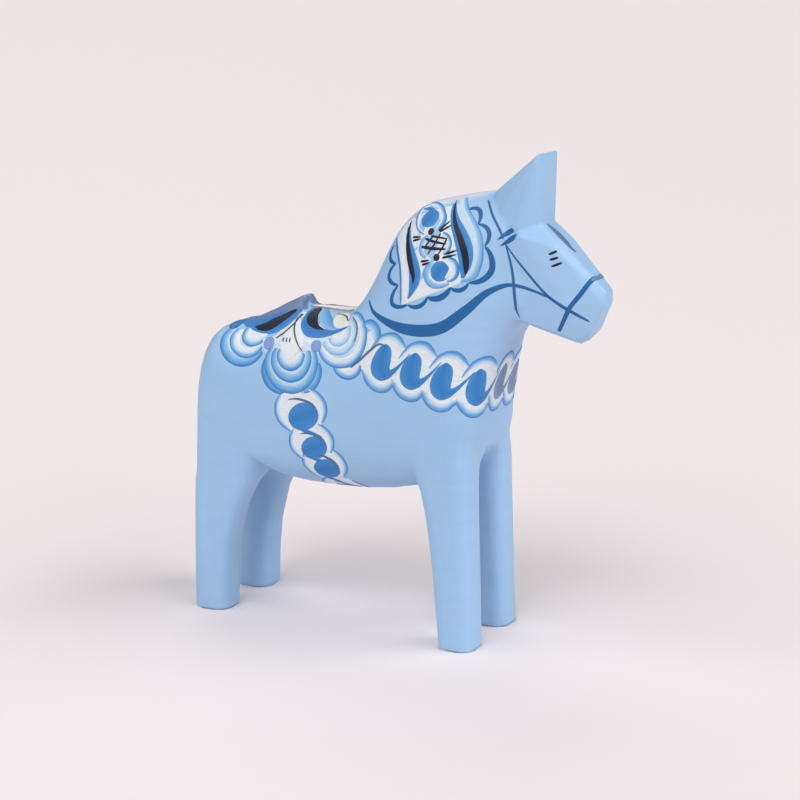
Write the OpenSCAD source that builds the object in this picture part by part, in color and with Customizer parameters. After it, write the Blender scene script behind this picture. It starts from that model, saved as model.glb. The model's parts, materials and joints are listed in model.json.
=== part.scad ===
// Carved and painted wooden horse. One pine carving stands on four legs; every colour on it is a
// thin film of paint that lies on the layer below. +X is the nose, +Y the horse's left, +Z up.

/* [Size] */
// Height from the floor to the ear tips
height = 199; // [50:1:500]
// Thickness of the base coat over the wood
coat_t = 0.35; // [0.2:0.05:0.6]
// Thickness of each painted ornament over the base coat
paint_t = 0.25; // [0.15:0.05:0.4]

/* [Trunk] */
// Width across the flanks
flank_w = 52; // [44:1:60]
// Drop from the ridge behind the saddle to the seat
seat_drop = 4; // [2:0.5:6]

/* [Legs] */
// Distance between the hind and front foot centres
wheelbase = 116; // [106:1:124]
// Distance between the right and left foot centres
track = 34.4; // [32:0.2:38]
// Width of a foot
foot_w = 17.4; // [14:0.2:20]
// Roundness of a leg's section, where 2 is a circle and more is squarer
leg_square = 3; // [2.2:0.1:4]

/* [Head] */
// Width of the head at the cheeks
cheek_w = 31; // [24:1:36]
// Width of the end of the muzzle
muzzle_w = 11; // [8:0.5:16]
// Width of the top edge of the ears
ear_w = 19; // [14:1:24]

/* [Hidden] */

// Every shape below is drawn for this height and then scaled to the one asked for.
drawn_height = 199;
size = height / drawn_height;
coat = coat_t / size;
paint = paint_t / size;

trunk_sides = 40;
leg_sides = 20;
half_w = flank_w / 2;
foot_r = foot_w / 2;
hind_x = -wheelbase / 2;
front_x = wheelbase / 2;
seat_z = 136 - seat_drop;
cheek = cheek_w / 2;
muzzle = muzzle_w / 2;
ear = ear_w / 2;
right_side = -1;
left_side = 1;

wood = "burlywood";
light_blue = "#9cbfe6";
mid_blue = "#3f85c6";
dark_blue = "#2c62a0";
pale = "#dfe6ea";
ink = "#20242c";

// The trunk and neck are one loft. A row is a section seen from the side: its upper end x and z,
// its lower end x and z, its half width, how much narrower it gets towards its upper end, and how
// square its upper and its lower half are.
TRUNK = [
    [-65.8, 59, -37, 67.5, half_w - 0.2, 0, 3.8, 3.6],
    [-66, 72, -34, 68, half_w - 0.1, 0, 3.8, 3.6],
    [-66, 86, -32, 66.5, half_w, 0, 3.7, 3.6],
    [-65.6, 98, -30, 64.5, half_w, 0, 3.6, 3.5],
    [-64.4, 107, -28, 62.5, half_w, 0.01, 3.5, 3.5],
    [-62.7, 113.3, -26, 61, half_w, 0.02, 3.4, 3.4],
    [-60.5, 118, -24, 60.2, half_w, 0.03, 3.2, 3.3],
    [-57.2, 121.2, -22, 59.6, half_w, 0.05, 3.1, 3.3],
    [-52.2, 122.9, -20, 59.2, half_w, 0.07, 3, 3.3],
    [-46.5, 123.8, -18, 59, half_w, 0.08, 2.9, 3.3],
    [-40, 125.2, -16, 58.7, half_w, 0.09, 2.9, 3.3],
    [-33, 127.2, -14, 58.5, half_w, 0.09, 2.8, 3.3],
    [-26.5, 129.2, -12, 58.4, half_w, 0.09, 2.8, 3.3],
    [-20, seat_z - 1, -9.5, 58.4, half_w, 0.09, 2.8, 3.3],
    [-12, seat_z - 0.8, -6, 58.4, half_w, 0.09, 2.8, 3.3],
    [-4, seat_z - 1, -1, 58.5, half_w, 0.08, 2.9, 3.3],
    [1.2, seat_z - 0.8, 7, 58.7, half_w, 0.08, 3, 3.3],
    [4.4, seat_z + 0.2, 16, 59.2, half_w, 0.08, 3, 3.4],
    [6.6, 134, 26, 60.4, half_w, 0.1, 3, 3.5],
    [8.6, 136.2, 36, 62.8, half_w, 0.12, 3, 3.7],
    [10.4, 138.8, 46, 66.6, half_w, 0.15, 3, 4],
    [12.1, 141.8, 54.6, 72, half_w, 0.18, 3, 4.3],
    [13.7, 144.8, 60.6, 76.8, half_w, 0.22, 3, 4.6],
    [15.2, 148, 64.4, 81.6, half_w - 0.2, 0.27, 3, 4.8],
    [16.7, 151.5, 65.8, 88, half_w - 0.6, 0.32, 3, 4.8],
    [18.5, 155.8, 66.3, 95, half_w - 1.2, 0.37, 3, 4.7],
    [20.8, 160.6, 67.6, 102, half_w - 2, 0.42, 3, 4.5],
    [23.7, 165.8, 69.1, 110, half_w - 2.8, 0.47, 3, 4.3],
    [27.8, 170.6, 70.8, 117.6, half_w - 3.8, 0.52, 3, 4.1],
    [32.8, 174.9, 72.6, 124, half_w - 4.8, 0.54, 3, 3.9],
    [39, 178, 75.1, 128.4, half_w - 5.8, 0.55, 3, 3.7],
    [47, 180, 77.5, 131, half_w - 6.8, 0.55, 3, 3.5],
    [56, 181.8, 79.4, 132.6, half_w - 7.8, 0.55, 3, 3.4],
    [64, 183, 81, 133.6, half_w - 8.9, 0.55, 3, 3.3],
    [71, 182, 83, 134.6, half_w - 9.6, 0.5, 3, 3.3],
    [78, 172, 86, 136.5, half_w - 13, 0.4, 3, 3.3]];

// The carved ridge behind the saddle rises from the rump and ends in a step down to the seat. A
// row is its x, the height and half width of its flat top, and the height of its foot.
RIDGE = [
    [-52, 122, 9, 118],
    [-46, 124, 7.6, 120.5],
    [-40, 126.2, 6.2, 122.5],
    [-33, 129.6, 5, 125],
    [-26.5, 133, 4.2, 126.6],
    [-20.4, 136, 3.6, 128]];
ridge_foot_w = 11;
ridge_root = 20;       // depth of the keel that roots the ridge in the trunk

// A leg is a loft of level sections. A row is its z, its rear and front reach from the foot's
// middle, how far the inner face has moved in towards the arch between the legs, and how far the
// outer face has sunk into the flank.
HIND_LEG = [
    [0, -foot_r + 0.7, foot_r, 0, 0],
    [15, -foot_r + 0.8, foot_r + 0.6, 0, 0],
    [30, -foot_r + 0.9, foot_r + 2.1, 0, 0],
    [45, -foot_r + 1, foot_r + 6.1, 0, 0],
    [52, -foot_r + 1, foot_r + 9.2, 0.8, 0],
    [56.5, -foot_r + 0.9, foot_r + 11.2, 3, 0],
    [59.6, -foot_r + 0.9, foot_r + 12.6, 9.2, 0],
    [69, -foot_r + 0.9, foot_r + 16.4, 9.2, 0.2],
    [80, -foot_r + 1.1, foot_r + 18, 9.2, 0.6],
    [96, -foot_r + 4, foot_r + 16, 9.2, 4]];
FRONT_LEG = [
    [0, -foot_r + 1, foot_r - 0.6, 0, 0],
    [18, -foot_r - 0.8, foot_r - 1.2, 0.4, 0],
    [38, -foot_r - 2.8, foot_r - 1.9, 0.8, 0],
    [54, -foot_r - 5.4, foot_r - 2.4, 1, 0],
    [64, -foot_r - 7.8, foot_r - 2.7, 1.2, 0],
    [71, -foot_r - 10.8, foot_r - 2.8, 1.6, 0],
    [76, -foot_r - 13, foot_r - 2.8, 3.4, 0],
    [79.4, -foot_r - 14, foot_r - 2.8, 9.2, 0.1],
    [88, -foot_r - 14.5, foot_r - 2.8, 9.2, 0.4],
    [98, -foot_r - 14, foot_r - 4, 9.2, 1],
    [110, -foot_r - 8, foot_r - 8, 9.2, 3]];

// Corners of the left half of the carved head, which is mirrored: x, y, z.
HEAD = [
    [69, cheek - 1, 165], [72, cheek - 2, 138],
    [80, cheek + 0.3, 168.4], [87.2, 6.5, 171.2], [92.8, cheek - 4, 164.2],
    [95.2, 5.6, 164.8], [101.4, 5.2, 156.8], [107.2, 4.8, 151], [112.3, 3.6, 146.6],
    [94.1, cheek - 3.6, 153.5], [98.6, cheek - 4.4, 141.5],
    [112, muzzle - 1, 142.2], [110.7, muzzle + 0.3, 143.4], [107.2, muzzle + 0.3, 131],
    [105, 3, 128.2],
    [79.4, cheek - 2.6, 134.6], [84, cheek - 4.4, 133.2], [95.2, cheek - 6, 130.8],
    [100.6, 7, 127.4], [102.6, 4.6, 126]];
EARS = [
    [66.6, 5.6, 183.4], [85.9, ear, 199], [86.2, 7.6, 171], [79, 13.4, 171],
    [68, 11, 172], [80, 9, 150]];

// The nose and rump reach equally far from the origin.
rump_x = min([for (row = TRUNK) row[0]]);
nose_x = max([for (corner = HEAD) corner.x]);
middle_x = (rump_x + nose_x) / 2;

// Brush strokes seen from the side. A row is a point's x and z and the brush's half width there.
REIN = [
    [16.4, 138.4, 0.5], [20.5, 134.6, 1.1], [28, 131, 1.9], [38, 129, 2.3], [50, 130.4, 2.1],
    [60, 136.6, 1.6], [69, 145, 1.2], [78, 148.6, 0.8], [86, 147, 0.7], [93.5, 143.8, 0.6]];
CHEEK_STRAP = [[63.6, 180, 0.5], [72, 168.6, 0.6], [75.8, 163.6, 0.6]];
JAW_STRAP = [[75.8, 163.6, 0.5], [78, 152, 0.8], [79, 142, 0.7], [80, 135.6, 0.4]];
MUZZLE_STRAP = [
    [75.8, 163.6, 0.5], [84, 152.6, 0.6], [92.6, 144, 0.7], [99.4, 139.6, 0.8], [106.4, 135.2, 0.8]];
UPPER_BUCKLE = [[71.4, 165.6, 0.5], [75.6, 168.8, 1.4]];
LOWER_BUCKLE = [[72.8, 163.4, 0.5], [78.4, 167.8, 1.4]];
NOSEBAND = [
    [108.4, 151.6, 0.9], [106.6, 151, 0.9], [102.6, 145.4, 1.2], [99.4, 139.6, 1.1],
    [95.2, 130, 0.9]];
BROW = [[88, 170.8, 0.6], [94, 166.6, 1.2], [99.6, 162, 0.5]];
EYE_LASHES = [
    [[91.2, 161, 0.5], [94.2, 162.2, 0.5]],
    [[91.8, 158.8, 0.6], [94.8, 159.8, 0.6]],
    [[92.6, 156.2, 0.5], [96.2, 157.8, 0.4]]];

// Round petals and links seen from the side: x, z and radius.
SADDLE_FANS = [[-43, 119, 12.2], [-16, 113.6, 15.4], [9, 122.4, 13.4], [12, 113, 7]];
BREAST_LINKS = [[17, 115.5, 8], [28, 114.6, 9], [39, 113, 9.2], [50, 111.4, 9.4], [60.5, 109, 9.6]];
GIRTH_LINKS = [[-10.5, 91, 8.6], [-7, 80.6, 7.6], [-2, 71.4, 7.2], [2, 63.6, 6.8]];
// Links across the chest seen from the front: y, z and radius.
CHEST_LINKS = [[-13, 107.6, 8.8], [0, 107.2, 8.8], [13, 107.6, 8.8]];
// The pale ground that joins the saddle's fans, seen from the side.
SADDLE_GROUND = [[-52, 120], [-40, 112], [8, 112], [14, 132], [4, 137], [-22, 138], [-46, 128]];
// The pale panel on the mane, which meets its mirror image along the crest.
MANE_PANEL = [
    [33.6, 138], [29.6, 147], [25.4, 158], [24, 172], [36, 186], [60, 186], [63.4, 176],
    [66.4, 166], [65.6, 158.6], [61, 151], [52, 145.6], [44, 142.6], [38, 138.4]];
// Middles and radii of the scallops that edge the panel, from the crest round to the withers.
SCALLOPS = [
    [64.6, 176, 4], [67.6, 167.6, 4.4], [67.4, 157.4, 6.6], [58.4, 148.6, 4], [50, 145, 3.8],
    [42.6, 141, 3.6], [34.4, 138.6, 4.6], [29.8, 147, 4], [27, 155.6, 3.6]];
scallop_line = 1.1;

// A power of a signed number that keeps its sign.
function signed_pow(v, p) = sign(v) * pow(abs(v), p);

// Points round a superellipse section between the ends a and b, which are [x, z].
function section(a, b, half, narrow, square, low_square, count, grow) =
    let (span = norm(a - b) / 2, middle = (a + b) / 2, along = (a - b) / (2 * span))
    [for (i = [0:count - 1])
        let (turn = 360 * i / count,
             power = 2 / (cos(turn) > 0 ? square : low_square),
             s = signed_pow(cos(turn), power),
             y = (half * (1 - narrow * pow((s + 1) / 2, 4)) + grow) * signed_pow(sin(turn), power),
             at = middle + along * s * (span + grow))
        [at.x, -y, at.y]];

// A solid through a list of sections that all have the same number of points.
module loft(sections) {
    count = len(sections[0]);
    last = len(sections) - 1;
    sides = [for (j = [0:last - 1], i = [0:count - 1])
        let (next = (i + 1) % count)
        each [[j * count + i, (j + 1) * count + i, j * count + next],
              [j * count + next, (j + 1) * count + i, (j + 1) * count + next]]];
    first_cap = [[for (i = [0:count - 1]) i]];
    last_cap = [[for (i = [0:count - 1]) last * count + count - 1 - i]];
    polyhedron([for (s = sections) each s], concat(sides, first_cap, last_cap));
}

// The belly also drops by the growth, because some sections run nearly along it.
module trunk(grow) {
    loft([for (i = [0:len(TRUNK) - 1])
        let (row = TRUNK[i], first_drop = i == 0 ? grow : 0)
        section([row[0], row[1] - first_drop], [row[2], row[3] - grow], row[4], row[5],
                row[6], row[7], trunk_sides, grow)]);
}

// One leg on the +Y side, standing at foot_x. Its sole stays on the floor.
module leg(rows, foot_x, grow) {
    loft([for (row = rows)
        let (inner = track / 2 - foot_r - row[3] - grow, outer = track / 2 + foot_r - row[4] + grow,
             rear = foot_x + row[1] - grow, fore = foot_x + row[2] + grow)
        [for (i = [0:leg_sides - 1])
            let (turn = 360 * i / leg_sides)
            [(rear + fore) / 2 + (fore - rear) / 2 * signed_pow(cos(turn), 2 / leg_square),
             (inner + outer) / 2 + (outer - inner) / 2 * signed_pow(sin(turn), 2 / leg_square),
             row[0]]]]);
}

// One slice across the ridge, thin enough to be a face.
module ridge_slice(row, grow) {
    foot = row[3];
    polyhedron([for (x = [row[0], row[0] + 0.01])
                   each [[x, -ridge_foot_w, foot], [x, -row[2], row[1] + grow],
                         [x, row[2], row[1] + grow], [x, ridge_foot_w, foot], [x, 0, foot - ridge_root]]],
               [[0, 1, 2, 3, 4], [9, 8, 7, 6, 5], [0, 5, 6, 1], [1, 6, 7, 2], [2, 7, 8, 3],
                [3, 8, 9, 4], [4, 9, 5, 0]]);
}

module ridge(grow) {
    last = len(RIDGE) - 1;
    for (i = [0:last - 1])
        hull() {
            ridge_slice(RIDGE[i], grow);
            translate([i == last - 1 ? grow : 0, 0, 0]) ridge_slice(RIDGE[i + 1], grow);
        }
}

// A carved block with flat facets between its corners.
module block(corners, grow) {
    points = [for (p = corners, side = [-1, 1])
        let (at = [p.x, side * p.y, p.z])
        each (grow == 0 ? [at]
              : [for (axis = [[1, 0, 0], [0, 1, 0], [0, 0, 1]], way = [-grow, grow])
                    at + way * axis])];
    hull()
        polyhedron(points, [for (i = [0:len(points) - 3]) [i, i + 1, i + 2]]);
}

// The whole horse's outside, grown evenly by the thickness of the layers on it.
module horse(grow = 0) {
    trunk(grow);
    ridge(grow);
    block(HEAD, grow);
    block(EARS, grow);
    for (side = [0, 1])
        mirror([0, side, 0]) {
            leg(HIND_LEG, hind_x, grow);
            leg(FRONT_LEG, front_x, grow);
        }
}

// Stands the horse on the floor, with the origin under its middle.
module placed() {
    scale(size) translate([-middle_x, 0, 0]) children();
}

// The layer of the thickness given that lies on the base coat wherever children() reach.
module film() {
    placed()
        intersection() {
            difference() {
                horse(coat + paint);
                horse(coat);
            }
            children();
        }
}

// Carries an outline drawn in x and z right through one side of the horse, or through both.
module flank(side = 0) {
    depth = 2 * half_w;
    translate([0, side < 0 ? 0 : depth, 0])
        rotate([90, 0, 0])
            linear_extrude(side == 0 ? 2 * depth : depth) children();
}

module dots(rows) {
    for (row = rows)
        translate([row.x, row.y]) circle(row.z, $fn = 18);
}

module stroke(rows) {
    for (i = [0:len(rows) - 2])
        hull()
            for (row = [rows[i], rows[i + 1]])
                translate([row.x, row.y]) circle(row.z, $fn = 10);
}

module pine_core() {
    color(wood) placed() horse();
}

module ground_coat() {
    color(light_blue)
        placed()
            difference() {
                horse(coat);
                horse();
            }
}

module saddle_painting() {
    color(mid_blue)
        film()
            flank() {
                dots(SADDLE_FANS);
                polygon(SADDLE_GROUND);
            }
}

module breast_garland() {
    color(mid_blue)
        film() {
            flank() dots(BREAST_LINKS);
            translate([front_x, 0, 0])
                rotate([90, 0, 90]) linear_extrude(2 * foot_w) dots(CHEST_LINKS);
        }
}

module girth_garland(side) {
    color(mid_blue) film() flank(side) dots(GIRTH_LINKS);
}

module mane_panel(side) {
    color(pale) film() flank(side) polygon(MANE_PANEL);
}

module mane_scallops(side) {
    color(dark_blue)
        film()
            flank(side)
                difference() {
                    dots(SCALLOPS);
                    dots([for (row = SCALLOPS) row - [0, 0, scallop_line]]);
                    polygon(MANE_PANEL);
                }
}

module rein(side) {
    color(dark_blue) film() flank(side) stroke(REIN);
}

module bridle(side) {
    color(dark_blue)
        film()
            flank(side)
                difference() {
                    for (rows = [CHEEK_STRAP, JAW_STRAP, MUZZLE_STRAP, UPPER_BUCKLE, LOWER_BUCKLE])
                        stroke(rows);
                    stroke(REIN);
                    stroke(NOSEBAND);
                }
}

module noseband() {
    color(dark_blue) film() flank() stroke(NOSEBAND);
}

module brow_stroke(side) {
    color(dark_blue) film() flank(side) stroke(BROW);
}

module eye(side) {
    color(ink)
        film()
            flank(side)
                for (lash = EYE_LASHES)
                    stroke(lash);
}

pine_core();
ground_coat();
saddle_painting();
breast_garland();
girth_garland(right_side);  // girth_garland_right
girth_garland(left_side);  // girth_garland_left
mane_panel(right_side);  // mane_panel_right
mane_panel(left_side);  // mane_panel_left
mane_scallops(right_side);  // mane_scallops_right
mane_scallops(left_side);  // mane_scallops_left
rein(right_side);  // rein_right
rein(left_side);  // rein_left
bridle(right_side);  // bridle_right
bridle(left_side);  // bridle_left
noseband();
brow_stroke(right_side);  // brow_stroke_right
brow_stroke(left_side);  // brow_stroke_left
eye(right_side);  // eye_right
eye(left_side);  // eye_left
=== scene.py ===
"""Looks of the painted wooden horse: the carving under its base coat, then every brush stroke.

Places are in the carving's own millimetres: x ahead of the middle between the hind and front feet,
y to the horse's left, z above the floor. Each side is drawn as the right side, and the left one is
mirrored. A motif is drawn on a flat sheet laid against the carving, u forward and v up.
"""
import json
import math

import bpy
import numpy as np
from mathutils import Matrix, Vector
from mathutils.bvhtree import BVHTree


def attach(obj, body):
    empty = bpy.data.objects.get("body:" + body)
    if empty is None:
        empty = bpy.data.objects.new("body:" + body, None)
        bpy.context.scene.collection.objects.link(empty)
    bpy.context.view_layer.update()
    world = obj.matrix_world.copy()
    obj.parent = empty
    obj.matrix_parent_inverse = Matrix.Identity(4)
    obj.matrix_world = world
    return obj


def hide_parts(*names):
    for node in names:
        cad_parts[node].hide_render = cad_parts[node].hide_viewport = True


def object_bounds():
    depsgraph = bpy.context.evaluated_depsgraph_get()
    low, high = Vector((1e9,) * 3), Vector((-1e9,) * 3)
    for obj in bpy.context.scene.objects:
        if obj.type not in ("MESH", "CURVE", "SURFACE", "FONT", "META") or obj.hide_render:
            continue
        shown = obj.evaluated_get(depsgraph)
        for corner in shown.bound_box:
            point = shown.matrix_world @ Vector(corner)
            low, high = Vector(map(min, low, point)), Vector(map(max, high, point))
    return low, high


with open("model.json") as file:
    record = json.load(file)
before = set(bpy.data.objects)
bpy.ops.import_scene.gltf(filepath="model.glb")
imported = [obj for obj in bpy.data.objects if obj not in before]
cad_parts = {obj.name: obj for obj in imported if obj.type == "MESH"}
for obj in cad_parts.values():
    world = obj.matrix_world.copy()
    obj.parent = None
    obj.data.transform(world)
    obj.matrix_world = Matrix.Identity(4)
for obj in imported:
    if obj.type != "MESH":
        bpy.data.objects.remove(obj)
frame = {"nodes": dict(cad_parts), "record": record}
cad_low, cad_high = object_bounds()
DRAWN_HEIGHT = 199
MM = (cad_high[2] - cad_low[2]) / DRAWN_HEIGHT
SOLES = {mount["name"]: mount["pos_m"] for mount in frame["record"]["mounts"]}
MIDDLE_X = (SOLES["hind_right_sole"][0] + SOLES["front_right_sole"][0]) / 2

WORLD_FROM_MM = Matrix.Translation((MIDDLE_X, 0, 0)) @ Matrix.Scale(MM, 4)
MM_FROM_WORLD = WORLD_FROM_MM.inverted()

LIFT = 0.12          # height of a stroke's surface over what it lies on
LAYER = 0.05         # further height of each stroke painted over another
EDGE_SINK = 0.04     # depth of a stroke's edge under the base coat
ROW_STEP = 0.8       # distance between the rows of a stroke's mesh
REACH = 8            # how far off the skin a stroke's mesh may start before it is pressed on
SOLE_GAP = 0.25      # height over the floor where the base coat ends round the bare wood
SHOULDER = 0.75      # share of its height that a stroke keeps just inside its edge
THINNEST = 0.03      # half width of a stroke at its very tip
BRISTLE_SHIFT = 7.3  # moves each stroke to a place of its own in the bristle pattern
# Places across a stroke, from one edge at -1 to the other at 1, closer together near the edges.
ACROSS = (-1, -0.94, -0.8, -0.5, -0.2, 0.2, 0.5, 0.8, 0.94, 1)

PAINTS = {
    "light_blue": "#9cc1e5", "dark_blue": "#1a609c", "mid_blue": "#3079bd", "bright_blue": "#4289ca",
    "sky": "#6fa8dc", "haze": "#98c2e2", "ice": "#bfd7e9", "pale": "#dce3ea", "cream": "#e2e2d8",
    "ink": "#0c1830", "periwinkle": "#7b9bce", "slate": "#6c84a8", "grey": "#53514f", "steel": "#4b6f96",
    "chalk": "#faf4f0", "taupe": "#a39c96", "lilac": "#c6cfe0", "dusk": "#64759f",
}
# Colours across a brush stroke, from its outer edge at 0 to its inner edge at 1.
STROKES = {
    "petal": [(0, "mid_blue"), (0.1, "bright_blue"), (0.26, "sky"), (0.5, "ice"), (0.75, "pale")],
    "band": [(0, "mid_blue"), (0.13, "bright_blue"), (0.38, "sky"), (0.66, "haze"), (0.85, "ice")],
    "deep_band": [(0, "mid_blue"), (0.18, "bright_blue"), (0.5, "sky"), (0.78, "haze"), (1, "ice")],
    "soft_band": [(0, "sky"), (0.2, "haze"), (0.5, "ice"), (0.85, "pale")],
    "fringe": [(0, "mid_blue"), (0.35, "sky"), (0.7, "ice"), (1, "pale")],
    "rim": [(0, "mid_blue"), (0.3, "bright_blue"), (0.6, "haze"), (0.8, "pale")],
    "pool": [(0, "bright_blue"), (0.3, "sky"), (0.8, "haze"), (1, "ice")],
    "leaf": [(0, "bright_blue"), (0.3, "mid_blue"), (0.8, "mid_blue"), (1, "bright_blue")],
    "ground": [(0, "haze"), (0.3, "ice"), (0.8, "pale")],
    "crest": [(0, "haze"), (0.2, "lilac"), (0.8, "lilac"), (1, "haze")],
    "sky": [(0, "haze"), (0.5, "sky"), (1, "bright_blue")],
    # Slate greying to periwinkle at one edge: painted sheen, laid where a top or the chest faces the light.
    "slate": [(0, "slate"), (0.6, "slate"), (1, "periwinkle")],
    "mid_blue": [(0, "bright_blue"), (0.5, "mid_blue"), (1, "bright_blue")],
    "deep_blue": [(0, "dark_blue"), (0.5, "mid_blue"), (1, "dark_blue")],
}
PLAIN_STROKES = ("ice", "pale", "chalk", "cream", "dark_blue", "ink", "periwinkle", "grey", "taupe",
                 "steel", "dusk")
for plain in PLAIN_STROKES:
    STROKES[plain] = [(0, plain), (1, plain)]


# ---------------------------------------------------------------- camera, light and floor

LENS = 81
CAMERA_PLACE = (348.5, -642.9, 255.2)
CAMERA_AZIMUTH = math.radians(26.92)
CAMERA_ELEVATION = math.radians(12.54)
FLOOR_REACH = 5000.0                # metres, so that the floor ends at the horizon
FLOOR_COLOUR = (0.86, 0.79, 0.8, 1)
WALL_COLOUR = (0.84, 0.78, 0.79, 1)
WALL_GLOW = 0.06                    # how much of the wall's colour falls on the horse as light


def make_camera():
    """The photograph's view: from the horse's right, ahead of it and a little above."""
    camera = bpy.data.cameras.new("camera")
    camera.sensor_width = 36
    camera.lens = LENS
    camera_object = bpy.data.objects.new("camera", camera)
    bpy.context.collection.objects.link(camera_object)
    camera_object.location = WORLD_FROM_MM @ Vector(CAMERA_PLACE)
    camera_object.rotation_euler = (math.pi / 2 - CAMERA_ELEVATION, 0, CAMERA_AZIMUTH)
    bpy.context.scene.camera = camera_object


def make_floor():
    corners = [(x * FLOOR_REACH, y * FLOOR_REACH, 0) for x, y in ((-1, -1), (1, -1), (1, 1), (-1, 1))]
    mesh = bpy.data.meshes.new("floor")
    mesh.from_pydata(corners, [], [(0, 1, 2, 3)])
    floor = bpy.data.objects.new("floor", mesh)
    bpy.context.collection.objects.link(floor)
    material = bpy.data.materials.new("floor")
    material.use_nodes = True
    shader = material.node_tree.nodes["Principled BSDF"]
    shader.inputs["Base Color"].default_value = FLOOR_COLOUR
    shader.inputs["Roughness"].default_value = 0.7
    mesh.materials.append(material)


# Softboxes by the direction that each shines from, and its strength.
SOFTBOXES = [((0.8, -0.3, 0.5), 0.9), ((0, -0.8, 0.8), 1.45), ((-0.7, -0.5, 0.8), 0.7),
             ((0.8, 0.3, 0.8), 1.3), ((-0.5, 0.6, 0.8), 0.45)]
SOFTBOX_SPREAD = math.radians(40)


def make_lights():
    scene = bpy.context.scene
    scene.view_settings.view_transform = "Standard"
    for i, (direction, strength) in enumerate(SOFTBOXES):
        light = bpy.data.lights.new(f"softbox_{i + 1}", "SUN")
        light.energy = strength
        light.angle = SOFTBOX_SPREAD
        lamp = bpy.data.objects.new(f"softbox_{i + 1}", light)
        bpy.context.collection.objects.link(lamp)
        lamp.rotation_euler = Vector(direction).to_track_quat("Z", "Y").to_euler()
    # A studio wall as pale as the floor, which adds next to no light of its own.
    world = bpy.data.worlds.new("studio")
    scene.world = world
    world.use_nodes = True
    tree = world.node_tree
    wall = tree.nodes["Background"]
    wall.inputs["Color"].default_value = WALL_COLOUR
    rays = add(tree, "ShaderNodeLightPath")
    strength = add(tree, "ShaderNodeMapRange")
    strength.inputs["To Min"].default_value = WALL_GLOW
    tree.links.new(rays.outputs["Is Camera Ray"], strength.inputs["Value"])
    tree.links.new(strength.outputs["Result"], wall.inputs["Strength"])


# ---------------------------------------------------------------- materials

def linear(name):
    """A named paint as linear red, green, blue and alpha."""
    code = PAINTS[name].lstrip("#")
    values = [int(code[i:i + 2], 16) / 255 for i in (0, 2, 4)]
    return [v / 12.92 if v <= 0.04045 else ((v + 0.055) / 1.055) ** 2.4 for v in values] + [1]


def add(tree, kind, **settings):
    node = tree.nodes.new(kind)
    for key, value in settings.items():
        if hasattr(node, key):
            setattr(node, key, value)
        else:
            node.inputs[key].default_value = value
    return node


def paint_base():
    """Satin light blue, brushed on by hand: soft streaks along the body and small dents of the wood."""
    material = bpy.data.materials.new("light_blue_paint")
    material.use_nodes = True
    tree = material.node_tree
    shader = tree.nodes["Principled BSDF"]
    place = add(tree, "ShaderNodeTexCoord")
    stretch = add(tree, "ShaderNodeMapping")
    stretch.inputs["Scale"].default_value = (60, 60, 320)
    streaks = add(tree, "ShaderNodeTexNoise", Scale=1.0, Detail=3.0)
    patches = add(tree, "ShaderNodeTexNoise", Scale=18.0, Detail=2.0)
    dents = add(tree, "ShaderNodeTexNoise", Scale=70.0, Detail=2.0)
    tree.links.new(place.outputs["Object"], stretch.inputs["Vector"])
    tree.links.new(stretch.outputs["Vector"], streaks.inputs["Vector"])
    tree.links.new(place.outputs["Object"], patches.inputs["Vector"])
    tree.links.new(place.outputs["Object"], dents.inputs["Vector"])
    colour = add(tree, "ShaderNodeValToRGB")
    colour.color_ramp.elements[0].position = 0.3
    colour.color_ramp.elements[0].color = [c * 0.94 for c in linear("light_blue")[:3]] + [1]
    colour.color_ramp.elements[1].position = 0.7
    colour.color_ramp.elements[1].color = [min(1, c * 1.05) for c in linear("light_blue")[:3]] + [1]
    mix = add(tree, "ShaderNodeMath", operation="MULTIPLY_ADD")
    mix.inputs[1].default_value = 0.35
    tree.links.new(streaks.outputs["Fac"], mix.inputs[0])
    scaled = add(tree, "ShaderNodeMath", operation="MULTIPLY")
    scaled.inputs[1].default_value = 0.65
    tree.links.new(patches.outputs["Fac"], scaled.inputs[0])
    tree.links.new(scaled.outputs[0], mix.inputs[2])
    tree.links.new(mix.outputs[0], colour.inputs["Fac"])
    tree.links.new(colour.outputs["Color"], shader.inputs["Base Color"])
    rough = add(tree, "ShaderNodeMapRange")
    rough.inputs["To Min"].default_value = 0.38
    rough.inputs["To Max"].default_value = 0.56
    tree.links.new(streaks.outputs["Fac"], rough.inputs["Value"])
    tree.links.new(rough.outputs["Result"], shader.inputs["Roughness"])
    fine = add(tree, "ShaderNodeBump", Strength=0.12, Distance=0.0002)
    coarse = add(tree, "ShaderNodeBump", Strength=0.25, Distance=0.0006)
    tree.links.new(streaks.outputs["Fac"], fine.inputs["Height"])
    tree.links.new(dents.outputs["Fac"], coarse.inputs["Height"])
    tree.links.new(coarse.outputs["Normal"], fine.inputs["Normal"])
    tree.links.new(fine.outputs["Normal"], shader.inputs["Normal"])
    return material


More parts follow.
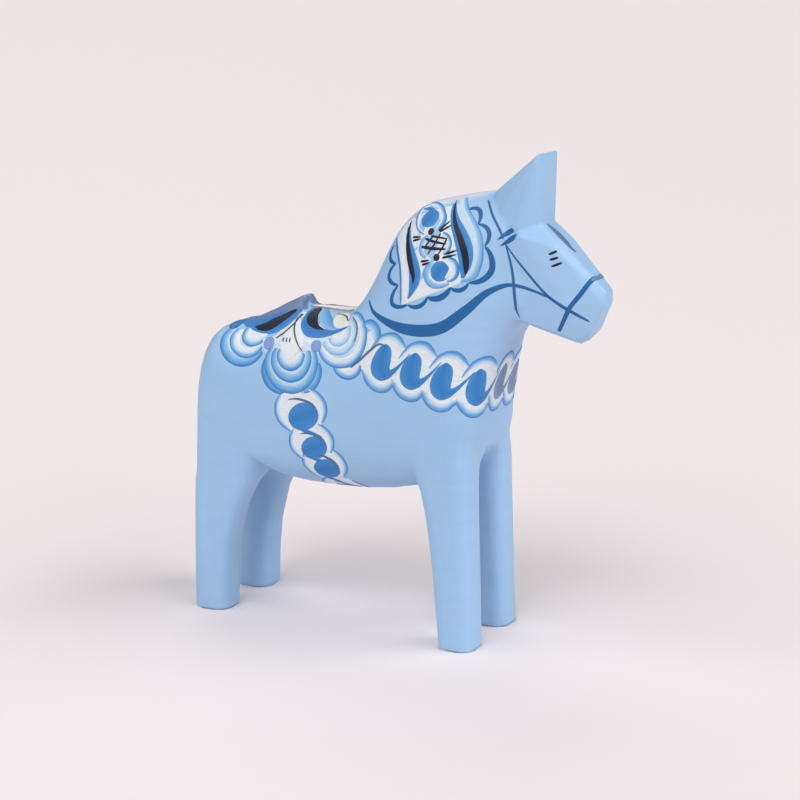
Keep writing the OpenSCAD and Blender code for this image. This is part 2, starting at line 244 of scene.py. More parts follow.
def bare_pine():
    """Planed pine: growth rings along the block with darker late wood, and fine pores."""
    material = bpy.data.materials.new("pine")
    material.use_nodes = True
    tree = material.node_tree
    shader = tree.nodes["Principled BSDF"]
    place = add(tree, "ShaderNodeTexCoord")
    rings = add(tree, "ShaderNodeTexWave", bands_direction="Y", Scale=90.0, Distortion=5.0, Detail=3.0)
    rings.inputs["Detail Scale"].default_value = 0.6
    pores = add(tree, "ShaderNodeTexNoise", Scale=900.0, Detail=3.0)
    tree.links.new(place.outputs["Object"], rings.inputs["Vector"])
    tree.links.new(place.outputs["Object"], pores.inputs["Vector"])
    colour = add(tree, "ShaderNodeValToRGB")
    colour.color_ramp.elements[0].color = (0.74, 0.52, 0.29, 1)
    colour.color_ramp.elements[1].color = (0.55, 0.33, 0.15, 1)
    tree.links.new(rings.outputs["Fac"], colour.inputs["Fac"])
    tree.links.new(colour.outputs["Color"], shader.inputs["Base Color"])
    rough = add(tree, "ShaderNodeMapRange")
    rough.inputs["To Min"].default_value = 0.6
    rough.inputs["To Max"].default_value = 0.8
    tree.links.new(pores.outputs["Fac"], rough.inputs["Value"])
    tree.links.new(rough.outputs["Result"], shader.inputs["Roughness"])
    bump = add(tree, "ShaderNodeBump", Strength=0.3, Distance=0.0002)
    tree.links.new(pores.outputs["Fac"], bump.inputs["Height"])
    tree.links.new(bump.outputs["Normal"], shader.inputs["Normal"])
    return material


def paint_stroke(name):
    """One brush load: its colours run across the stroke, and bristle streaks run along it."""
    material = bpy.data.materials.new(name + "_stroke")
    material.use_nodes = True
    tree = material.node_tree
    shader = tree.nodes["Principled BSDF"]
    stroke = add(tree, "ShaderNodeAttribute", attribute_name="stroke")
    stretch = add(tree, "ShaderNodeMapping")
    stretch.inputs["Scale"].default_value = (0.16, 2.6, 1)
    tree.links.new(stroke.outputs["Vector"], stretch.inputs["Vector"])
    bristles = add(tree, "ShaderNodeTexNoise", Scale=1.6, Detail=3.0)
    tree.links.new(stretch.outputs["Vector"], bristles.inputs["Vector"])
    loading = add(tree, "ShaderNodeAttribute", attribute_name="across")
    shift = add(tree, "ShaderNodeMath", operation="MULTIPLY_ADD")
    shift.inputs[1].default_value = 0.22
    tree.links.new(bristles.outputs["Fac"], shift.inputs[0])
    centred = add(tree, "ShaderNodeMath", operation="SUBTRACT")
    centred.inputs[1].default_value = 0.11
    tree.links.new(loading.outputs["Fac"], centred.inputs[0])
    tree.links.new(centred.outputs[0], shift.inputs[2])
    ramp = add(tree, "ShaderNodeValToRGB")
    stops = STROKES[name]
    while len(ramp.color_ramp.elements) < len(stops):
        ramp.color_ramp.elements.new(0.5)
    for element, (position, paint) in zip(ramp.color_ramp.elements, stops):
        element.position = position
        element.color = linear(paint)
    tree.links.new(shift.outputs[0], ramp.inputs["Fac"])
    tone = add(tree, "ShaderNodeMapRange")
    tone.inputs["From Min"].default_value = 0.3
    tone.inputs["From Max"].default_value = 0.7
    tone.inputs["To Min"].default_value = 0.9
    tone.inputs["To Max"].default_value = 1.1
    tree.links.new(bristles.outputs["Fac"], tone.inputs["Value"])
    streaked = add(tree, "ShaderNodeVectorMath", operation="SCALE")
    tree.links.new(ramp.outputs["Color"], streaked.inputs[0])
    tree.links.new(tone.outputs["Result"], streaked.inputs["Scale"])
    tree.links.new(streaked.outputs["Vector"], shader.inputs["Base Color"])
    rough = add(tree, "ShaderNodeMapRange")
    rough.inputs["To Min"].default_value = 0.35
    rough.inputs["To Max"].default_value = 0.6
    tree.links.new(bristles.outputs["Fac"], rough.inputs["Value"])
    tree.links.new(rough.outputs["Result"], shader.inputs["Roughness"])
    bump = add(tree, "ShaderNodeBump", Strength=0.35, Distance=0.00012)
    tree.links.new(bristles.outputs["Fac"], bump.inputs["Height"])
    tree.links.new(bump.outputs["Normal"], shader.inputs["Normal"])
    shader.inputs["Specular IOR Level"].default_value = 0.35
    return material


# ---------------------------------------------------------------- the carving

def apply_modifiers(piece):
    graph = bpy.context.evaluated_depsgraph_get()
    result = bpy.data.meshes.new_from_object(piece.evaluated_get(graph))
    piece.modifiers.clear()
    piece.data = result


HEAD_FROM = (62, 122)     # x behind which and z under which the head's crisp facets end
HEAD_BLEND = 8
RIDGE_SPAN = (-32, -12)   # x of the crisp ridge behind the seat
RIDGE_FROM = 127
RIDGE_BLEND = 3


def rising(value, start, span):
    """0 up to the start, then rising to 1 over the span."""
    return min(1, max(0, (value - start) / span))


def carve(name, voxel, rounds, crispness):
    """A copy of the CAD carving with its edges softened, less so at the faceted head and the ridge."""
    mesh = frame["nodes"]["pine_core"].data.copy()
    mesh.transform(MM_FROM_WORLD)
    piece = bpy.data.objects.new(name, mesh)
    bpy.context.collection.objects.link(piece)
    remesh = piece.modifiers.new("remesh", "REMESH")
    remesh.mode = "VOXEL"
    remesh.voxel_size = voxel
    apply_modifiers(piece)
    softness = piece.vertex_groups.new(name="softness")
    for vertex in piece.data.vertices:
        x, _, z = vertex.co
        head = rising(x, HEAD_FROM[0], HEAD_BLEND) * rising(z, HEAD_FROM[1], HEAD_BLEND)
        ridge = rising(z, RIDGE_FROM, RIDGE_BLEND) if RIDGE_SPAN[0] < x < RIDGE_SPAN[1] else 0
        softness.add([vertex.index], 1 - crispness * max(head, ridge), "REPLACE")
    smooth = piece.modifiers.new("smooth", "SMOOTH")
    smooth.factor = 0.5
    smooth.iterations = rounds
    smooth.vertex_group = "softness"
    apply_modifiers(piece)
    for polygon in piece.data.polygons:
        polygon.use_smooth = True
    return piece


def carve_body():
    """The outside of the base coat. It stops just short of the floor, round the bare soles."""
    body = carve("painted_carving", 0.9, 4, 0.8)
    for vertex in body.data.vertices:
        vertex.co.z = max(vertex.co.z, SOLE_GAP)
    return body


def carve_core():
    """The wood inside the base coat, which shows only as the four soles."""
    core = carve("wood_core", 1.6, 3, 0)
    sole_inset = 0.6
    inset = 2.6    # deep enough to stay under the paint where the softened edges differ
    ankle = 12     # height over the floor at which the full inset is reached
    normals = [vertex.normal.copy() for vertex in core.data.vertices]
    for vertex, normal in zip(core.data.vertices, normals):
        rise = min(1, vertex.co.z / ankle)
        vertex.co -= normal * (sole_inset + (inset - sole_inset) * rise)
        if vertex.co.z < 2 * sole_inset:
            vertex.co.z = 0
    return core


class Skin:
    """The carving's surface. A mirrored skin lets the left side be drawn as if it were the right."""

    def __init__(self, mesh, mirrored=False):
        self.mirrored = mirrored
        flip = -1 if mirrored else 1
        points = [Vector((v.co.x, v.co.y * flip, v.co.z)) for v in mesh.vertices]
        self.tree = BVHTree.FromPolygons(points, [tuple(p.vertices) for p in mesh.polygons])
        self.flip = flip

    def snap(self, point):
        place, normal, _, _ = self.tree.find_nearest(point)
        return place, normal * self.flip

    def press(self, point, outward):
        """The skin under or over the point, looked for along a direction, and its normal there."""
        place, normal, _, _ = self.tree.ray_cast(point + outward * REACH, -outward, 2 * REACH)
        return (place, normal * self.flip) if place else self.snap(point)

    def drop(self, point, normal, reach=30):
        """Where a pin pushed against the normal from over the point meets the skin."""
        place, _, _, _ = self.tree.ray_cast(point + normal * reach, -normal, 2 * reach)
        return place if place else self.snap(point)[0]


class Sheet:
    """A flat drawing sheet laid against the skin at one place, turned by an angle in degrees."""

    def __init__(self, skin, centre, turn=0, forward=(1, 0, 0), scale=1):
        self.skin = skin
        self.centre, normal = skin.snap(Vector(centre))
        for step in ((2, 0, 0), (-2, 0, 0), (0, 2, 0), (0, -2, 0), (0, 0, 2), (0, 0, -2)):
            normal = normal + skin.snap(self.centre + Vector(step))[1]
        self.normal = normal.normalized()
        along = Vector(forward)
        along = (along - self.normal * along.dot(self.normal)).normalized()
        up = self.normal.cross(along)
        angle = math.radians(turn)
        self.u = (along * math.cos(angle) + up * math.sin(angle)) * scale
        self.v = (up * math.cos(angle) - along * math.sin(angle)) * scale

    def at(self, u, v):
        return self.skin.drop(self.centre + self.u * u + self.v * v, self.normal)

    def all(self, points):
        return [self.at(*p) for p in points]


def spline(points, rows, ease):
    """Rows of a smooth curve through the points, packed closer at its two ends when ease is 1.
    A point may be two places side by side, which then stay level with each other."""
    points = np.array([tuple(p) for p in points], float)
    if len(points) == 2:
        points = np.array([points[0], (points[0] + points[1]) / 2, points[1]])
    places = points[:, :points.shape[1] // 3 * 3]
    lengths = np.maximum(np.linalg.norm(np.diff(places, axis=0), axis=1), 1e-6)
    knots = np.concatenate([[0], np.cumsum(lengths)])
    slopes = np.gradient(points, knots, axis=0)
    steps = np.linspace(0, 1, rows)
    steps = (1 - ease) * steps + ease * (1 - np.cos(np.pi * steps)) / 2
    at = steps * knots[-1]
    cell = np.clip(np.searchsorted(knots, at, side="right") - 1, 0, len(knots) - 2)
    span = (knots[cell + 1] - knots[cell])[:, None]
    t = (at - knots[cell])[:, None] / span
    return (points[cell] * (2 * t**3 - 3 * t**2 + 1) + slopes[cell] * span * (t**3 - 2 * t**2 + t)
            + points[cell + 1] * (3 * t**2 - 2 * t**3) + slopes[cell + 1] * span * (t**3 - t**2)), steps


class Painting:
    """One piece: the brush strokes that make up one motif."""

    def __init__(self, skin):
        self.skin = skin
        self.points, self.faces, self.strokes, self.across, self.paints = [], [], [], [], []
        self.names = []
        self.count = 0

    def lay(self, left, right, paint, layer):
        """One film between two edge curves of equal length, draped on the skin."""
        start = len(self.points)
        self.count += 1
        if paint not in self.names:
            self.names.append(paint)
        along = 0
        width = max((r - l).length for l, r in zip(left, right))
        lift = LIFT + LAYER * layer
        last = len(left) - 1
        facing = 0
        for i, (l, r) in enumerate(zip(left, right)):
            outward = sum((self.skin.snap(p)[1] for p in (l, (l + r) / 2, r)), Vector()).normalized()
            if i:
                ahead = (l + r) / 2 - (left[i - 1] + right[i - 1]) / 2
                along += ahead.length
                facing += (r - l).cross(ahead).dot(outward)
            for k in ACROSS:
                place, normal = self.skin.press(l + (r - l) * (k + 1) / 2, outward)
                edge = abs(k) == 1 or i in (0, last)
                height = -EDGE_SINK if edge else lift * (SHOULDER if abs(k) > 0.9 else 1)
                self.points.append(place + normal * height)
                self.strokes.append((along, k * width / 2, self.count * BRISTLE_SHIFT))
                self.across.append((1 - k) / 2)
        n = len(ACROSS)
        for i in range(last):
            for j in range(n - 1):
                a = start + i * n + j
                face = (a, a + 1, a + n + 1, a + n)
                self.faces.append(face if facing > 0 else face[::-1])
                self.paints.append(self.names.index(paint))

    def band(self, left, right, paint, layer=0):
        """A film between two edges given by a few points each."""
        length = max(sum((b - a).length for a, b in zip(edge, edge[1:])) for edge in (left, right))
        rows = max(6, int(length / ROW_STEP))
        data, _ = spline([(*l, *r) for l, r in zip(left, right)], rows, 0)
        self.lay([Vector(row[:3]) for row in data], [Vector(row[3:]) for row in data], paint, layer)

    def fill(self, sheet, left, right, paint, layer=0):
        """A film between two edges drawn on a sheet."""
        self.band(sheet.all(left), sheet.all(right), paint, layer)

    def brush(self, points, width, paint, layer=0, swell=(0.5, 0.5)):
        """A stroke along the points. width is its full width, or one width for each point.
        swell says how bluntly the stroke starts and ends: near 0 blunt, 0.5 round, 1 pointed."""
        widths = width if isinstance(width, (list, tuple)) else [width] * len(points)
        points = [self.skin.snap(Vector(p))[0] for p in points]
        length = sum((b - a).length for a, b in zip(points, points[1:]))
        rows = max(10, int(length / ROW_STEP) + 6)
        data, steps = spline([(*p, w) for p, w in zip(points, widths)], rows, 0.8)
        a, b = swell
        peak = (a / (a + b)) ** a * (b / (a + b)) ** b if a + b else 1
        left, right = [], []
        for i, (row, t) in enumerate(zip(data, steps)):
            place, normal = self.skin.snap(Vector(row[:3]))
            ahead = Vector(data[min(i + 1, rows - 1)][:3]) - Vector(data[max(i - 1, 0)][:3])
            side = normal.cross(ahead).normalized()
            half = max(THINNEST, row[3] / 2 * t**a * (1 - t) ** b / peak)
            left.append(place + side * half)
            right.append(place - side * half)
        self.lay(left, right, paint, layer)

    def arc(self, sheet, centre, radius, width, start, stop, paint, layer=0, swell=(0.3, 0.3)):
        """A C stroke round the centre, whose outer edge is at the radius. Angles are in degrees,
        counter-clockwise."""
        steps = max(5, int(abs(stop - start) / 20))
        middle = radius - width / 2
        ring = []
        for i in range(steps + 1):
            angle = math.radians(start + (stop - start) * i / steps)
            ring.append(sheet.at(centre[0] + middle * math.cos(angle),
                                 centre[1] + middle * math.sin(angle)))
        self.brush(ring, width, paint, layer, swell)

    def dot(self, sheet, centre, width, height, paint, layer=0, turn=0):
        """A round dab: a short stroke as wide as it is long."""
        angle = math.radians(turn)
        reach = (height / 2 * -math.sin(angle), height / 2 * math.cos(angle))
        ends = [(centre[0] + s * reach[0], centre[1] + s * reach[1]) for s in (-1, -0.5, 0, 0.5, 1)]
        self.brush(sheet.all(ends), width, paint, layer)

    def build(self, name, node):
        mesh = bpy.data.meshes.new(name)
        flip = self.skin.flip
        mesh.from_pydata([(p.x, p.y * flip, p.z) for p in self.points], [],
                         [f if flip == 1 else f[::-1] for f in self.faces])
        for paint in self.names:
            mesh.materials.append(stroke_paint(paint))
        mesh.polygons.foreach_set("material_index", self.paints)
        mesh.polygons.foreach_set("use_smooth", [True] * len(self.faces))
        vectors = mesh.attributes.new("stroke", "FLOAT_VECTOR", "POINT")
        vectors.data.foreach_set("vector", np.array(self.strokes, float).ravel())
        values = mesh.attributes.new("across", "FLOAT", "POINT")
        values.data.foreach_set("value", self.across)
        mesh.transform(WORLD_FROM_MM)
        piece = bpy.data.objects.new(name, mesh)
        bpy.context.collection.objects.link(piece)
        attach(piece, "root")
        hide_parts(node)


def stroke_paint(name):
    found = bpy.data.materials.get(name + "_stroke")
    return found if found else paint_stroke(name)


# ---------------------------------------------------------------- places on the carving

def spots(*points):
    return [Vector(p) for p in points]


def flank(art, points):
    """Places on the side of the carving, each from its x and z as seen from the side."""
    return [art.skin.drop(Vector((x, -20, z)), Vector((0, -1, 0))) for x, z in points]


# ---------------------------------------------------------------- saddle

# Middles of the sheets that the three fans are drawn on.
REAR_FAN = (-36.3, -18.9, 118.9)
CENTRE_FAN = (-16, -23.1, 115.3)
FRONT_FAN = (6.3, -21.8, 121)


def saddle_ground(art):
    upper = spots((-47, -12, 121), (-36, -18.6, 119.4), (-26, -19, 120.6), (-18, -9, 130.2), (-8, -15, 127),
                  (2, -17, 126.4), (9, -16, 130), (14, -18, 130))
    lower = spots((-46, -20, 116), (-38, -22, 114), (-29, -23, 113.5), (-20, -24.6, 108), (-10, -24.8, 108),
                  (-3, -24, 112.5), (8, -24.8, 111), (21, -24.8, 113))
    art.band(upper, lower, "ground", 0)


def rear_fan(art):
    sheet = Sheet(art.skin, REAR_FAN)
    art.arc(sheet, (-3.5, 0.6), 13, 5.4, 152, 330, "band", 1, (0.12, 0.12))
    art.arc(sheet, (-1.7, 1.4), 10.4, 5, 152, 328, "petal", 2, (0.12, 0.12))
    art.arc(sheet, (0.6, 3.5), 7.6, 5, 156, 320, "petal", 3, (0.1, 0.1))
    art.dot(sheet, (2, 2.8), 10, 6, "pale", 2)


def centre_fan(art):
    sheet = Sheet(art.skin, CENTRE_FAN)
    art.arc(sheet, (-2.4, -6.8), 11.2, 5, 150, 276, "deep_band", 0, (0.3, 0.35))
    art.arc(sheet, (4.2, -5.8), 11.6, 5, 276, 378, "band", 0, (0.35, 0.3))
    art.arc(sheet, (0.6, -3.4), 13.3, 4.8, 152, 390, "band", 1, (0.25, 0.25))
    art.arc(sheet, (0.5, -1.9), 10.3, 4.8, 156, 386, "band", 2, (0.25, 0.25))
    art.arc(sheet, (0.3, 0), 7.6, 5.6, 166, 366, "petal", 3, (0.25, 0.25))
    art.brush(sheet.all([(-1, 15), (-1, 8), (-0.6, 2), (0.2, -3)]), [3, 9, 12.4, 7], "pale", 4, (0.4, 0.5))
    art.dot(sheet, (-11.5, 3.1), 5.6, 5.6, "periwinkle", 6)
    art.dot(sheet, (11.3, 3.7), 5, 5, "periwinkle", 6)
    for u in (-4.6, -3, -1.4):
        art.brush(sheet.all([(u, 6.1), (u - 0.1, 5), (u + 0.3, 4)]), 0.75, "grey", 6)


def front_fan(art):
    sheet = Sheet(art.skin, FRONT_FAN)
    art.brush(sheet.all([(13.4, 5), (15.4, 1), (14.4, -5), (10, -9)]), [5, 8, 8, 6], "pale", 0, (0.4, 0.4))
    art.arc(sheet, (4.4, -6.2), 8.2, 5, 196, 345, "petal", 1, (0.3, 0.3))
    art.arc(sheet, (12.4, 3), 7.4, 4.4, -24, 118, "band", 1, (0.3, 0.4))
    art.arc(sheet, (0.4, 2.2), 12.6, 4.6, 208, 442, "petal", 2, (0.12, 0.12))
    art.arc(sheet, (-1, 3.6), 8.9, 4, 205, 424, "soft_band", 3, (0.12, 0.12))
    art.arc(sheet, (-1.4, 4.2), 6.1, 4, 205, 405, "soft_band", 4, (0.1, 0.1))
    art.brush(sheet.all([(-3, 9), (-2, 5), (-1.5, 1)]), [5, 8, 5], "pale", 3)


def saddle_leaves(art):
    """The blue leaf up to the ridge behind the seat, with a painted sheen in slate grey over its lit top and
    a black core.
    """
    lower = spots((-51.5, -3, 123), (-43, -13, 122.2), (-36.5, -16.8, 121.2), (-29.6, -18.4, 121),
                  (-24, -18.4, 123), (-20, -16.4, 126.2), (-18.4, -12, 129), (-18.8, -8, 130.2))
    middle = spots((-51.6, -2, 123.1), (-43, -7, 124.8), (-37, -7.8, 126.2), (-31, -8.2, 128),
                   (-26, -8.4, 129.4), (-22.6, -8.4, 130), (-20.4, -8, 130.4), (-19.4, -7.4, 130.6))
    ridge = spots((-51.6, 0, 123.2), (-43, 0, 126), (-37, 0, 128), (-31, 0, 130.8), (-26, 0, 133.2),
                  (-22.6, 0, 135), (-20.8, 0, 136), (-20, 0, 134))
    art.band(middle, lower, "leaf", 4)
    # Slate over the leaf's top up to the ridge, and at the ridge's front end: painted sheen where the top
    # faces the light.
    art.band(ridge, middle, "slate", 5)
    art.brush(spots((-19.8, 0, 134.8), (-19, -3.6, 132.6), (-18.2, -7, 130.8)), 3.6, "slate", 5)
    core = spots((-38, -14.2, 122.8), (-34.6, -15, 123.2), (-31, -14.6, 124.2), (-27.4, -13, 126),
                 (-24, -10.8, 128.2), (-21, -8.6, 130.4))
    art.brush(core, [1.6, 4.8, 7.4, 7.8, 6.4, 3.6], "ink", 6, (0.25, 0.35))
    bud = spots((-49.4, -13.8, 120.8), (-50.2, -8.8, 122.2), (-50.8, -3, 122.9))
    art.brush(bud, 6, "deep_blue", 6)


def saddle_flower(art):
    """The leaf in front of the ridge: blue outside, a black core and a light petal beside it."""
    outer = spots((-16, -3.4, 130.8), (-15.4, -13.6, 128.2), (-14.6, -17.4, 125), (-10.4, -20, 122),
                  (-4, -20.4, 121.9), (2, -19.8, 123.6), (9, -18.9, 127.4))
    inner = spots((-12.4, -3.4, 131), (-12.6, -12.4, 129), (-11.4, -15.9, 126.8), (-8.4, -17.4, 125.4),
                  (-4.4, -17.8, 125.2), (1, -18, 125.4), (8.6, -18.4, 127.6))
    art.band(inner, outer, "leaf", 4)
    petal = spots((-10, -4, 130.8), (-6.4, -12, 129.2), (-3, -15.6, 127.4), (0.4, -17.6, 126),
                  (4, -18.4, 126))
    art.brush(petal, [3, 5.6, 6, 4.4, 1.4], "sky", 5, (0.3, 0.5))
    core = spots((-12.8, -3.6, 131), (-12, -11, 129.6), (-10.4, -15, 127.4), (-7, -17.2, 125.6),
                 (-2.4, -18.2, 125))
    art.brush(core, [3, 4.8, 5, 3.6, 1], "ink", 6, (0.35, 0.6))
    bud = spots((0.6, -9.4, 130.6), (2.6, -13.8, 129.2), (4.4, -18, 126.4))
    art.brush(bud, 8, "cream", 7, (0.4, 0.4))
    stem = spots((-1.6, -9.4, 130.4), (2.6, -11.6, 130.4), (5.6, -14.4, 130), (6.6, -16.2, 129.2))
    art.brush(stem, [0.5, 0.8, 0.9, 0.8], "grey", 8, (0.3, 0.2))


def saddle_lines(art):
    sheet = Sheet(art.skin, CENTRE_FAN)
    art.brush(sheet.all([(-1.5, 17), (-1.5, 13.6), (-4.2, 9), (-8.8, 5.3)]), 0.8, "grey", 7, (0.3, 0.5))
    art.brush(sheet.all([(-0.6, 17), (-1.8, 14.2), (-1.3, 10.8), (0.9, 6.2), (3.4, 2.8), (5.6, 0.7)]),
              0.8, "grey", 7, (0.3, 0.5))
    front = Sheet(art.skin, FRONT_FAN)
    art.brush(front.all([(2.8, 11.4), (6.7, 7.6), (7.5, 3.6), (6.5, 0.4)]), 0.6, "steel", 7, (0.3, 0.5))
    stalk = front.all([(6, -9.5), (10.5, -5.9), (15, -2.1), (19, 0.4), (22, 0)])
    art.brush(stalk, 0.9, "steel", 7, (0.3, 0.3))


def seat(art):
    """Pale paint along the top of the seat, with a soft grey line on each side of it."""
    near = [(-19, -1.6, 130.4), (-12.6, -2.4, 130.9), (-6, -3.2, 130.8), (0, -4.6, 130.6), (6, -7.4, 131)]
    far = [(x, -y, z) for x, y, z in near]
    art.band(spots(*far), spots(*near), "chalk", 8)
    for edge in (near, far):
        art.brush(spots(*edge), 0.7, "taupe", 9, (0.3, 0.3))


# ---------------------------------------------------------------- garlands

def link(art, sheet, comma):
    """One link of a garland: pale paint inside two blue-fringed scallops, and a comma on it."""
    art.fill(sheet,
             [(-7, 2), (-3.6, 6.8), (-1, 9.4), (2.8, 11), (6.4, 10.8), (9, 9), (11, 5)],
             [(-8.4, -3), (-7, -6.6), (-4, -9.4), (-0.2, -10.6), (3.2, -9.8), (5.8, -7.6), (9, -3)],
             "pale", 0)
    art.fill(sheet,
             [(-5.6, 4), (-2, 7), (0.8, 8.9), (3.6, 9.3), (6.2, 8.4), (8.2, 6.6), (11, 6.4)],
             [(-5.6, 4.6), (-3.7, 7.8), (-0.9, 10.9), (2.8, 12.5), (6.4, 12.4), (9.2, 10.4), (11, 6.8)],
             "fringe", 1)
    art.fill(sheet,
             [(7.4, -7.2), (4.8, -6.2), (3, -7.4), (-0.2, -8.1), (-3, -7), (-5, -4.6), (-8.2, -3)],
             [(7.4, -7.6), (5.9, -8.7), (3.2, -11.2), (-0.3, -12), (-4.3, -10.9), (-7.3, -7.8),
              (-8.5, -3.4)],
             "fringe", 1)
    art.fill(sheet,
             [(2, 8), (-1.2, 6), (-4, 1.6), (-4.8, -2.4), (-3.5, -5.6), (-0.4, -7.2), (3.2, -6.2),
              (6, -3.8), (9, -0.4), (13, 5)],
             [(2.2, 8), (4.3, 6.4), (4.9, 3.8), (4.7, 1.4), (4.3, -0.6), (4.2, -1.8), (4.8, -1.9),
              (6.4, -1), (9, 1.2), (13, 5.3)],
             comma, 2)


# Middles of the links round the breast, and the way that each runs.
BREAST_LINKS = [
    ((26.3, -25.1, 115.1), (1, 0, 0)), ((39.5, -25.5, 112.8), (1, 0, 0)), ((52.5, -24.8, 109.9), (1, 0, 0)),
    ((65.3, -19.4, 107.5), (1, 0, 0)), ((68.4, -4.5, 107.5), (0, 1, 0)), ((68.3, 9.2, 107), (0, 1, 0)),
    ((64.8, 21, 107.8), (-1, 0, 0)), ((52.5, 24.8, 109.9), (-1, 0, 0)), ((39.5, 25.5, 112.8), (-1, 0, 0)),
    ((26.3, 25.1, 115.1), (-1, 0, 0))]


def ellipse_edges(centre, half_length, half_width, tilt):
    """The upper and the lower edge of a tilted ellipse, from its rear end to its front end."""
    edges = []
    for side in (1, -1):
        edge = []
        for i in range(9):
            angle = math.pi * (1 - i / 8)
            u = half_length * math.cos(angle)
            v = side * half_width * math.sin(angle)
            edge.append((centre[0] + u * math.cos(tilt) - v * math.sin(tilt),
                         centre[1] + u * math.sin(tilt) + v * math.cos(tilt)))
        edges.append(edge)
    return edges


def girth_link(art, sheet):
    """One link of the girth: two blue rims on pale paint, and a slanting drop with its tail."""
    art.fill(sheet,
             [(-11.5, 4.5), (-8, 8.4), (-3, 10.4), (2, 10.8), (6.4, 9.4), (9.8, 6.6)],
             [(-12.4, -2), (-10, -5.8), (-5.2, -8.2), (0, -8.8), (5, -7.6), (9.4, -3)],
             "pale", 0)
    art.fill(sheet,
             [(-9.4, 7), (-10.4, 3), (-10.2, -1), (-8.8, -3.6), (-6.6, -5.6), (-4.4, -8)],
             [(-9.8, 7.6), (-12.8, 3.4), (-13.1, -1.4), (-11.6, -4.7), (-8.7, -7.2), (-4.6, -8.9)],
             "fringe", 1)
    art.fill(sheet,
             [(8.4, -3.2), (8.8, 1), (8.6, 3.6), (7.4, 5.8), (5.6, 7.6), (2.4, 10)],
             [(9.2, -3.8), (11.5, 0.6), (11.5, 4.4), (9.8, 7.4), (6.8, 9.7), (2.4, 11)],
             "fringe", 1)
    upper, lower = ellipse_edges((0.5, -1.4), 7.4, 5.9, math.radians(24))
    art.fill(sheet, upper, lower, "mid_blue", 2)
    crescent = sheet.all([(-6.8, 4.9), (-2.8, 5.6), (1, 5.2), (4, 4.2), (6.6, 2)])
    art.brush(crescent, [0.5, 0.9, 1.1, 1.5, 2], "steel", 3, (0.3, 0.3))
    tail = sheet.all([(-3, -5.6), (0.4, -7), (4.4, -7.8), (9, -9)])
    art.brush(tail, [3, 2, 1.2, 0.7], "mid_blue", 3, (0.4, 0.3))


# Middles of the links of the girth, with the turn and the size of each.
GIRTH_LINKS = [((-9.3, -25.9, 91.4), 0, 1), ((-4.7, -25.4, 78.4), 0, 0.86), ((0.1, -23.2, 69.5), -12, 0.84),
               ((5, -13, 60), -20, 0.84)]


# ---------------------------------------------------------------- mane

MANE_MIDDLE = (46.3, -17, 162.6)


def mane_panel(art):
    sheet = Sheet(art.skin, MANE_MIDDLE)
    art.fill(sheet,
             [(-12.8, -24.4), (-14.4, -15), (-17.6, -5.4), (-22, 3), (-20, 10), (-14, 17)],
             [(-12, -24), (0, -19.2), (12.4, -13.6), (18.6, -7), (18, 4), (8, 19)],
             "pale", 0)


def mane_crest(art):
    crest = [(22, 0, 163), (27, 0, 170), (36, 0, 177), (48, 0, 180.4), (58, 0, 182.4), (66, 0, 183)]
    art.brush(crest, [6, 12, 16, 16, 14, 9], "crest", 1, (0.2, 0.2))


# Lines across the middle of the mane, each with its width, and the dashes that point at its spots.
HATCHING = [
    ([(-2.9, 3.2), (0.6, 2.8), (4.5, 2.3)], 0.9),
    ([(-5.4, 2.1), (-0.6, 0.9), (4.4, 0.2)], 1.1),
    ([(-6.6, -1.2), (-0.5, -1.8), (4.7, -1.7)], 1.3),
    ([(-1.7, 3.8), (-3.2, 1.4), (-4.8, -1.2)], 0.6),
    ([(1.2, 4.5), (-0.5, 0.4), (-3.1, -4.2)], 0.6),
    ([(4.5, 2.9), (3.2, -0.9), (1.5, -4.3)], 0.7)]
DASHES = [
    ((0, 5.4), (3.9, 9.8)), ((0.5, 5), (5.1, 8)), ((-12.1, 2.8), (-7.7, 2.9)),
    ((-11.5, 1.3), (-7.5, 2.1)), ((4.9, -3.6), (9.3, -1.9)), ((3.5, -5.2), (9.4, -3.5)),
    ((-5.9, -7.1), (-2, -6.4)), ((-5.1, -8.4), (-1.7, -7.3))]


